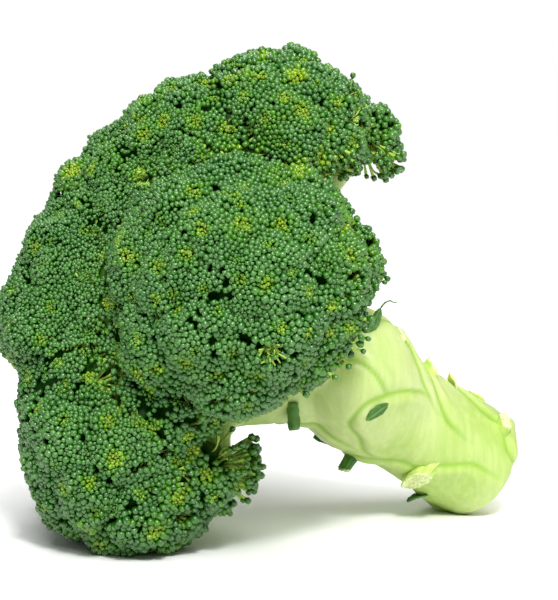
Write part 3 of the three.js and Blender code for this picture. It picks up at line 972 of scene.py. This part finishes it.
# %% Crowns
STRAYS = {  # crown: (how many, lowest and highest tilt from its axis, the side they are on)
    "front": (150, 92, 124, (0.55, -0.2, -0.8)),
    "upper_right": (70, 96, 126, (0.2, -0.5, -0.8)),
    "upper_rim": (40, 90, 125, (0.3, -0.6, -0.7)),
    "right": (45, 80, 125, (0.4, -0.7, -0.6)),
    "lower": (60, 98, 128, (0.6, -0.7, -0.6)),
    "lower_rim": (90, 80, 128, (0.3, -0.7, -0.8)),
    "lower_inner": (50, 90, 124, (0.6, -0.6, -0.5)),
    "back_upper": (40, 98, 125, (0.3, 0.3, -1.0)),
    "back_middle": (40, 98, 125, (0.3, 0.3, -1.0)),
    "back_lower": (40, 98, 125, (0.3, 0.3, -1.0)),
}


for index, crown in enumerate(CROWN_LIST):
    mine = cluster_crown[owner] == index
    buds, inner = Batch(), Batch()
    add_buds(buds, foot[mine], point[mine], width[mine], length[mine], age[mine])
    add_core(inner, crown)
    add_twigs(inner, crown, index)
    if crown.name in STRAYS:
        add_strays(inner, buds, crown, *STRAYS[crown.name])
    for (name, _, *numbers), (centre, out) in zip(OPEN_PLACES, OPEN_CENTRES):
        if name == crown.name:
            add_open_place(inner, buds, centre, out, *numbers)
    node = "crown_" + crown.name
    finish_piece(buds.make(node + "_buds"), BUD_SKIN, "flower_buds", node)
    finish_piece(inner.make(node + "_twigs"), TWIG_SKIN, "branch_flesh")
    print(f"{crown.name}: {mine.sum()} buds in {(cluster_crown == index).sum()} clusters")

# %% [markdown]
# ## Stalk and branches
#
# The stalk and its branches grew as one, so they are joined: the closed shapes are laid over each other,
# wrapped in one skin by a voxel remesh, and smoothed, which rounds the corners where a branch leaves.
#
# The stalk's skin is made of overlapping *scales*. Each leaf left a scar, and from the scar two furrows
# run down the stalk and spread apart. A scale's edge is a half ellipse round a middle V below the scar:
# with u across and w up from that middle, as shares of the half width W and the height V, it is where
# √(u² + w²) = 1. Lower scales lie over higher ones.

# %% Stalk and branches
SCALE_WIDTH, SCALE_DEPTH = 14.0, 26.0
STEM_VOXEL, STEM_ROUNDS = 0.88, 11  # size of a face in mm, and rounds of smoothing
SCALES = [  # height and bearing of each leaf scar, from the crowns down
    (82, -62), (78, 160), (76, 60), (68, -112), (63, 105), (62, -27), (56, 12), (50, 178), (45, -35),
    (37, 98), (31, -146), (28, -2), (20, 62), (14, 150), (10, -46),
]


def stalk_shape():
    """The stalk before its scales: a closed grid with a worn edge round the cut end."""
    around, worn = 160, 2.6
    heights = np.concatenate([[0.0, 0.25, 0.8, 1.6, worn], np.arange(3.6, STALK_HEIGHT, 0.8), [STALK_HEIGHT]])
    inset = 1.5 * (1 - np.clip(heights / worn, 0, 1)) ** 2
    h, a = np.meshgrid(heights, ring_turns(around), indexing="ij")
    r = (stalk_radius(heights) - inset)[:, None]
    r = r + 0.35 * np.cos(3 * a + h / 22) + 0.25 * np.cos(2 * a - h / 15)
    # The shoulder is flatter below, where the lowest branches leave it.
    r *= 1 - 0.27 * smoothstep(h, 44, 70) * smoothstep(-np.cos(a + 0.25), 0.1, 0.9)
    points = np.stack([r * np.cos(a), r * np.sin(a), h], -1).reshape(-1, 3)
    points = np.concatenate([points, [[0, 0, 0], [0, 0, STALK_HEIGHT]]])
    quads, below, above = ring_faces(len(heights), around)
    return points, quads, np.concatenate([below, above])


def branch_line(name, steps=26):
    """A branch's middle line, from inside the stalk, or inside the branch it forks from, to its crown."""
    tip = CROWN[name].tip
    if name in FORKS:
        parent = branch_line(FORKS[name], 101)
        at = round(100 * FORK_AT)
        start = parent[at]
        bend = start + 0.4 * np.linalg.norm(tip - start) * unit(parent[at + 1] - parent[at - 1])
    else:
        start = np.array([0, 0, BRANCH_START])
        bend = tip * [BEND_OUT, BEND_OUT, 0] + [0, 0, BRANCH_START + BEND_UP * (tip[2] - BRANCH_START)]
    return bezier(start, bend, tip, steps)[0]


def branch_shapes(batch):
    """A tube for each branch, widest where it leaves the stalk and where it enters its crown."""
    for crown in CROWN_LIST:
        line = branch_line(crown.name)
        t = np.linspace(0, 1, len(line))
        swell = (BRANCH_FLARE - 1) * (2 * t - 1) ** 2 + 0.25 * smoothstep(t, 0.75, 1)
        swell += 0.75 * np.clip(1 - t / 0.8, 0, 1) ** 1.2
        ridges = 1 + 0.04 * noise3(line + crown.middle, 26, 21, 2)
        points, quads, tris, _ = tubes(line[None], (crown.branch * (1 + swell) * ridges)[None], 28)
        batch.add(points, quads, tris, age=np.zeros(len(points)))


def wrapped(obj, voxel, rounds):
    """Plant-frame points, normals and quads of one skin round obj, smoothed; obj is removed."""
    remesh = obj.modifiers.new("wrap", "REMESH")
    remesh.mode, remesh.voxel_size = "VOXEL", voxel / 1000
    relax = obj.modifiers.new("relax", "SMOOTH")
    relax.factor, relax.iterations = 0.5, rounds
    mesh = bpy.data.meshes.new_from_object(obj.evaluated_get(bpy.context.evaluated_depsgraph_get()))
    bpy.data.objects.remove(obj)
    points = (1000 * read(mesh.vertices, "co").astype(float) - ORIGIN) @ PLANT_AXES.T
    normals = read(mesh.vertices, "normal").astype(float) @ PLANT_AXES.T
    return points, normals, read(mesh.loops, "vertex_index", 1, np.int32).reshape(-1, 4)


def scale_relief(points):
    """How far the scales push the stalk's skin out, and how deep in a furrow each point is (0 to 1)."""
    bearing = np.arctan2(points[:, 1], points[:, 0])
    radius = np.hypot(points[:, 0], points[:, 1])
    push, furrow = np.zeros(len(points)), np.zeros(len(points))
    for i, (height, degrees) in enumerate(SCALES):
        wander = 0.9 * noise3(points, 30, i + 40, 2)
        turn = (bearing - math.radians(degrees) + math.pi) % (2 * math.pi) - math.pi
        u, v = (turn * radius + wander) / SCALE_WIDTH, height - points[:, 2] + wander
        w = np.maximum(1 - v / SCALE_DEPTH, 0)
        far = np.sqrt(u**2 + w**2) + 1e-3
        edge = (1 - far) * far / np.sqrt((u / SCALE_WIDTH) ** 2 + (w / SCALE_DEPTH) ** 2 + 1e-6)
        fade = 1 - smoothstep(v, 0.5 * SCALE_DEPTH, 1.2 * SCALE_DEPTH)
        inside = smoothstep(edge, -2.0, 0.4) * fade
        groove = np.exp(-((edge + 0.3) / 0.95) ** 2)
        relief = 0.8 * np.exp(-((edge - 3.0) / 2.4) ** 2) + 0.3 - 1.1 * groove
        push = push * (1 - inside) + relief * inside
        furrow = furrow * (1 - inside) + groove * inside
    return push, furrow


def evened(values, quads, rounds):
    """Each point's value replaced, a few times, by the mean of its own and its neighbours' on the mesh."""
    ahead = np.roll(quads, -1, axis=1).ravel()
    first, second = np.concatenate([quads.ravel(), ahead]), np.concatenate([ahead, quads.ravel()])
    count = np.bincount(first, minlength=len(values)) + 2
    for _ in range(rounds):
        values = (np.bincount(first, values[second], len(values)) + 2 * values) / count
    return values


shapes = Batch()
points, quads, tris = stalk_shape()
shapes.add(points, quads, tris, age=np.zeros(len(points)))
branch_shapes(shapes)
points, normals, quads = wrapped(shapes.make("stem_rough"), STEM_VOXEL, STEM_ROUNDS)
on_stalk = 1 - smoothstep(np.hypot(points[:, 0], points[:, 1]) - stalk_radius(points[:, 2]), 1.0, 3.5)
on_stalk *= 1 - smoothstep(points[:, 2], 78, 88)
push, furrow = scale_relief(points)
cut = smoothstep(-normals[:, 2], 0.75, 0.95) * (points[:, 2] < 1.5)
push = push * on_stalk * (1 - cut) + 0.12 * noise3(points, 9, 8)
points = points + normals * evened(push, quads, 3)[:, None]
points = raised(points, 0.05)
up_branch = smoothstep(points[:, 2], 66, 96)
stem = make_mesh("stem", points, quads, furrow=furrow * on_stalk * (1 - cut), cut=cut, branch=up_branch)
finish_piece(stem, STEM_SKIN, "stalk_flesh", "stalk", *("branch_" + name for name in CROWNS))
print("stem faces:", len(quads))

# %% [markdown]
# ## Leaf stubs
#
# When the head is trimmed, each leaf's stalk is snapped off. What stays is an oval stump that leans
# towards the crowns, wider at its foot, with a torn, stringy top. It is a grid of rings: up the side,
# over the edge and in to the middle of the break, where the height is broken up by noise that is
# stretched along the stub.


# %% Leaf stubs
STUBS = [  # height on the stalk, bearing, width, thickness and length
    (41, -30, 8.5, 5.5, 2.6), (15, -12, 8, 5, 2.2), (7, -43, 7, 5.5, 2.6), (27, -147, 12.5, 7, 4),
    (61, -38, 6, 4, 1.6), (47, 178, 4.6, 4.2, 5.5), (33, 100, 12, 6.5, 5), (55, 60, 10, 5.5, 4.5),
]
STUB_SINK = 2.5
GREEN_STUBS = {6}  # this one still has its leaf's green skin


def stalk_frame(height, bearing, depth=0.0):
    """A place on the stalk's surface, and its directions: towards the crowns, across and out."""
    angle = math.radians(bearing)
    radial = np.array([math.cos(angle), math.sin(angle), 0])
    across = np.array([-math.sin(angle), math.cos(angle), 0])
    low, high = stalk_radius(np.array([height, height + 12.0]))
    along = unit(radial * (high - low) / 12 + [0, 0, 1])
    out = np.cross(across, along)
    return radial * low + [0, 0, height] - out * depth, along, across, out


def leaf_stub(number, height, bearing, width, thick, length):
    """One stub: t is each ring's share of the height and r its share of the full oval. The foot flares."""
    around, side, break_rings = 72, 22, 12
    foot, along, across, out = stalk_frame(height, bearing, STUB_SINK)
    lean = unit(out + 0.45 * along)
    t = np.concatenate([np.linspace(0, 1, side), np.ones(break_rings)])
    r = np.concatenate([np.ones(side), np.linspace(0.96, 0.06, break_rings)])
    flare = 0.97 + 0.42 * (1 - t) ** 2.4 - 0.07 * smoothstep(t, 0.9, 1)
    turn = ring_turns(around)
    strings = noise3(np.stack([2.2 * np.cos(turn), 2.2 * np.sin(turn), np.zeros(around)], 1), 1.1, number, 3)
    oval = (r * flare)[:, None] * (1 + 0.045 * strings)
    u, v = oval * np.cos(turn) * width / 2, oval * np.sin(turn) * thick / 2
    flat = np.stack([u, v, np.zeros_like(u)], -1).reshape(-1, 3)
    torn = smoothstep(t, 0.86, 1.0)[:, None] * np.ones(around)
    rough = 0.75 * noise3(flat, 4.2, number + 20, 3) + 0.3 * noise3(flat, 1.3, number + 30, 2)
    dish = -0.6 * (1 - r[:, None] ** 2) * np.ones(around)
    rise = t[:, None] * (length + STUB_SINK) + torn * (rough.reshape(u.shape) * 0.55 + dish)
    points = (foot + np.stack([rise, u, v], -1) @ np.array([lean, across, along])).reshape(-1, 3)
    points = np.concatenate([points, points[-around:].mean(0)[None]])
    quads, _, above = ring_faces(len(t), around)
    tris = np.minimum(above, len(t) * around)  # the foot is inside the stalk and stays open
    torn = np.append(torn.ravel(), 1.0)
    name = f"leaf_stub_{number}"
    piece = make_mesh(name + "_torn", points, quads, tris, torn=torn)
    return finish_piece(piece, GREEN_STUB if number in GREEN_STUBS else STUB_FLESH, "stub_flesh", name)


for number, stub in enumerate(STUBS, 1):
    leaf_stub(number, *stub)
print("leaf stubs:", len(STUBS))

# %% [markdown]
# ## Small leaves
#
# A few thin dark bracts lie on the stalk, and one pale young leaf sits on a branch. A blade is a closed
# surface: x runs across it from -1 to 1, t along it from 0 to 1, and its half width is W sin(π t)^0.62 (a
# pointed oval). It bends away from the stalk as t grows, curls up at its sides, and has a rib down the
# middle.

# %% Small leaves
BRACTS = [  # node, height, bearing, length, width, lean, turn, height of its foot over the stalk's skin
    ("bract_front", 65, -117, 9, 3.6, 8, 98, 0.9), ("bract_shoulder", 76, -56, 10, 3.4, 14, 112, 0.6),
    ("bract_lower", 15, -172, 8, 6, 40, 0, -0.9), ("bract_upper", 23, -10, 7.5, 5, 30, 0, -0.9),
    ("bract_back", 40, 140, 16, 9, 10, 0, -0.4),
]
THREAD_BENDS = [  # millimetres along, across and out from a bract's tip
    (0, 0, 0), (1.6, 0.5, 0.8), (2.6, 1.8, 1.6), (2.0, 3.2, 2.0), (3.0, 4.2, 1.6),
]


def blade(place, length, width, lean, ruffle, thick, seed):
    """Points, quads and attributes of a closed blade from its foot along a line that leans outwards."""
    foot, along, across, out = place
    rows, cols = 44, 26
    t, x = np.meshgrid(np.linspace(0.0, 1.0, rows), np.linspace(-1, 1, cols), indexing="ij")
    half = (width / 2) * np.sin(math.pi * np.clip(t, 0.01, 0.99)) ** 0.62
    half = half * (1 + 0.05 * np.sin(23 * t + seed))
    rise = length * t * math.tan(math.radians(lean)) * (0.5 + 0.5 * t)
    wave = ruffle * np.abs(x) ** 1.5 * (np.sin(9 * t + 2 * x + seed) + 0.5 * np.sin(21 * t - 3 * x + seed))
    curl = (0.10 if ruffle > 0.5 else -0.12) * width * x**2
    rib = 0.35 * np.exp(-((x / 0.09) ** 2)) * (1 - t)
    vein = 0.08 * np.cos(2 * math.pi * (7 * t - 3 * np.abs(x)))
    centre = rise + wave + curl + vein
    edge = (1 - np.abs(x) ** 6) * np.clip(np.minimum(t, 1 - t) * 14, 0.15, 1)
    sheets = []
    for side in (1, -1):
        lift = centre + side * (thick / 2 * edge + (rib if side < 0 else -0.4 * rib))
        sheets.append(np.stack([length * t, half * x, lift], -1).reshape(-1, 3))
    points = foot + np.concatenate(sheets) @ np.array([along, across, out])
    i, j = np.meshgrid(np.arange(rows - 1), np.arange(cols - 1), indexing="ij")
    a, b, c, d = i * cols + j, i * cols + j + 1, (i + 1) * cols + j + 1, (i + 1) * cols + j
    top = np.stack([a, b, c, d], -1).reshape(-1, 4)
    under = np.stack([a, d, c, b], -1).reshape(-1, 4) + rows * cols
    # The rim joins the two sheets: a walk round the grid's border, with the face between each pair of steps.
    walk = np.concatenate([
        np.arange(cols), cols * np.arange(1, rows) + cols - 1,
        (rows - 1) * cols + np.arange(cols - 2, -1, -1), cols * np.arange(rows - 2, 0, -1),
    ])
    ahead = np.roll(walk, -1)
    rim = np.stack([ahead, walk, walk + rows * cols, ahead + rows * cols], 1)
    quads = np.concatenate([top, under, rim])
    return points, quads, {"across": np.tile(np.abs(x).ravel(), 2), "along": np.tile(t.ravel(), 2)}


for i, (node, height, bearing, length, width, lean, turn, lift) in enumerate(BRACTS):
    foot, along, across, out = stalk_frame(height, bearing, -lift)
    cos, sin = math.cos(math.radians(turn)), math.sin(math.radians(turn))
    along, across = cos * along + sin * across, cos * across - sin * along
    points, quads, marks = blade((foot, along, across, out), length, width, lean, 0.25, 0.9, i)
    skin_of = YOUNG_SKIN if node == "bract_upper" else BRACT_SKIN
    finish_piece(make_mesh(node + "_blade", points, quads, **marks), skin_of, "leaf_green", node)
    if node == "bract_shoulder":  # a dried thread curls from this one's tip
        tip = foot + length * along + length * math.tan(math.radians(lean)) * out
        knots = tip + np.array(THREAD_BENDS) @ np.array([along, across, out])
        t = np.linspace(0, len(knots) - 1, 40)
        line = np.stack([np.interp(t, np.arange(len(knots)), knots[:, k]) for k in range(3)], 1)
        for _ in range(6):
            line[1:-1] = 0.25 * line[:-2] + 0.5 * line[1:-1] + 0.25 * line[2:]
        points, quads, tris, share = tubes(line[None], np.linspace(0.34, 0.16, 40)[None], 8)
        marks = {"across": np.ones(len(share)), "along": 0.3 + 0.4 * share}
        finish_piece(make_mesh("bract_thread", points, quads, tris, **marks), BRACT_SKIN, "leaf_green")

# A short dark stump hangs from the front of the lowest branch.
STUMP_RADII = np.array([1.7] * 3 + [1.9] * 3 + [2.0] * 4 + [1.9, 1.7])
drop = np.linspace(2.5, 11.0, len(STUMP_RADII))[:, None]
bow = np.linspace(0, 1, len(STUMP_RADII))[:, None] ** 2
stump = branch_line("lower", 101)[42] - [0, 1.25 * CROWN["lower"].branch, 0]
stump = stump - drop * PLANT_AXES[:, 2] - [0, 1, 0] * bow
points, quads, tris, share = tubes(stump[None], STUMP_RADII[None], 20)
points += 0.1 * unit(points - stump.mean(0)) * noise3(points, 3.0, 77, 2)[:, None]
marks = dict.fromkeys(("across", "along"), np.full(len(share), 0.5))
finish_piece(make_mesh("branch_stump", points, quads, tris, **marks), BRACT_SKIN, "leaf_green")

# The pale young leaf sits on the front of a branch.
line = branch_line("upper_right", 101)
along = unit(line[79] - line[77])
out = np.array([0.25, -1, 0])
out = unit(out - (out @ along) * along)
place = (line[78] + out * CROWN["upper_right"].branch * 0.8, along, np.cross(along, out), out)
points, quads, marks = blade(place, 14, 12, 46, 1.1, 0.8, 7)
finish_piece(make_mesh("young_leaf_blade", points, quads, **marks), YOUNG_SKIN, "young_leaf", "young_leaf")
print("small leaves:", len(BRACTS) + 1)

# %% [markdown]
# ## Floor, light and camera
#
# The head lies on a plain pale floor. The light is broad and soft and comes mostly from above, so the
# buds keep small highlights on top and the stalk is bright along its upper side. The camera stands in
# front, a little above the table, and looks through a long lens.


# %% Floor, light and camera
def floor_material():
    """A pale matt floor with the faintest unevenness."""
    s = Shader("floor_paint", Roughness=0.9, Specular_IOR_Level=0.0)
    base = s.over((250, 250, 249), (246, 246, 245), s.noise(3), 0.3, 0.7)
    return s.finish(base, None, s.noise(90), 0.0002, 0.2)


def soft_light(name, place, aim, width, height, watts):
    """A rectangular soft light at a place, facing a point, in metres."""
    light = bpy.data.lights.new(name, "AREA")
    light.shape, light.size, light.size_y, light.energy = "RECTANGLE", width, height, watts
    obj = new_object(name, light)
    obj.location = place
    obj.rotation_euler = (Vector(aim) - Vector(place)).to_track_quat("-Z", "Y").to_euler()


FLOOR_HALF = 6.0  # metres from the middle to each side
middle = (np.array(cad_low) + np.array(cad_high)) / 2

floor_mesh = bpy.data.meshes.new("floor")
corners = [(x * FLOOR_HALF, y * FLOOR_HALF, 0) for x, y in ((-1, -1), (1, -1), (1, 1), (-1, 1))]
floor_mesh.from_pydata(corners, [], [(0, 1, 2, 3)])
floor_mesh.materials.append(floor_material())
new_object("floor", floor_mesh)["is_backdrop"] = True

ROOM_LIGHT = 0.24  # the room's brightness for everything but the camera, which sees it as 1
sun = bpy.data.lights.new("skylight", "SUN")
sun.energy, sun.angle = 3.0, math.radians(50)
sky = new_object("skylight", sun)
sky.rotation_euler = Vector((0.2, 0.5, -1)).to_track_quat("-Z", "Y").to_euler()
soft_light("key", middle + [-0.35, -0.75, 0.8], middle, 0.16, 0.16, 9)
soft_light("rim", middle + [0.3, 0.8, 0.7], middle, 0.6, 0.4, 4)
world = bpy.data.worlds.new("studio")
world.use_nodes = True
tree = world.node_tree
room = tree.nodes["Background"]
room.inputs["Color"].default_value = (1, 1, 1, 1)
seen = tree.nodes.new("ShaderNodeLightPath")
level = tree.nodes.new("ShaderNodeMapRange")
level.inputs["To Min"].default_value, level.inputs["To Max"].default_value = ROOM_LIGHT, 1.0
tree.links.new(seen.outputs["Is Camera Ray"], level.inputs["Value"])
tree.links.new(level.outputs["Result"], room.inputs["Strength"])
bpy.context.scene.world = world
bpy.context.scene.view_settings.view_transform = "Standard"

CAMERA_AZIMUTH, CAMERA_RISE, CAMERA_ROLL = -32.06, 5.63, 0.59  # degrees round the head, up and of tilt
CAMERA_DISTANCE = 0.621
LENS_MM, SENSOR_MM = 117.2, 36.0
CAMERA_TARGET = to_part([12.4, 8.8, 94.3])

camera_data = bpy.data.cameras.new("camera")
camera_data.lens, camera_data.sensor_width, camera_data.sensor_fit = LENS_MM, SENSOR_MM, "AUTO"
camera_data.clip_start, camera_data.clip_end = 0.05, 20
camera = new_object("camera", camera_data)
azimuth, tilt = math.radians(CAMERA_AZIMUTH), math.radians(CAMERA_RISE)
back = Vector((math.sin(azimuth) * math.cos(tilt), -math.cos(azimuth) * math.cos(tilt), math.sin(tilt)))
facing = back.to_track_quat("Z", "Y").to_matrix() @ Matrix.Rotation(math.radians(CAMERA_ROLL), 3, "Z")
camera.matrix_world = Matrix.Translation(Vector(CAMERA_TARGET) + back * CAMERA_DISTANCE) @ facing.to_4x4()
bpy.context.scene.camera = camera
print("camera at", [round(1000 * v, 1) for v in camera.location])

# %% [markdown]
# ## Sizes
#
# Both boxes, the solids' and the looks', are printed.

# %% Sizes
bpy.context.view_layer.update()
seen_low, seen_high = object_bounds()
sizes = {"cad": [list(cad_low), list(cad_high)], "visual": [list(seen_low), list(seen_high)]}
for label, (corner_low, corner_high) in sizes.items():
    print(label, "mm:", [round(1000 * v, 1) for v in corner_low], [round(1000 * v, 1) for v in corner_high])
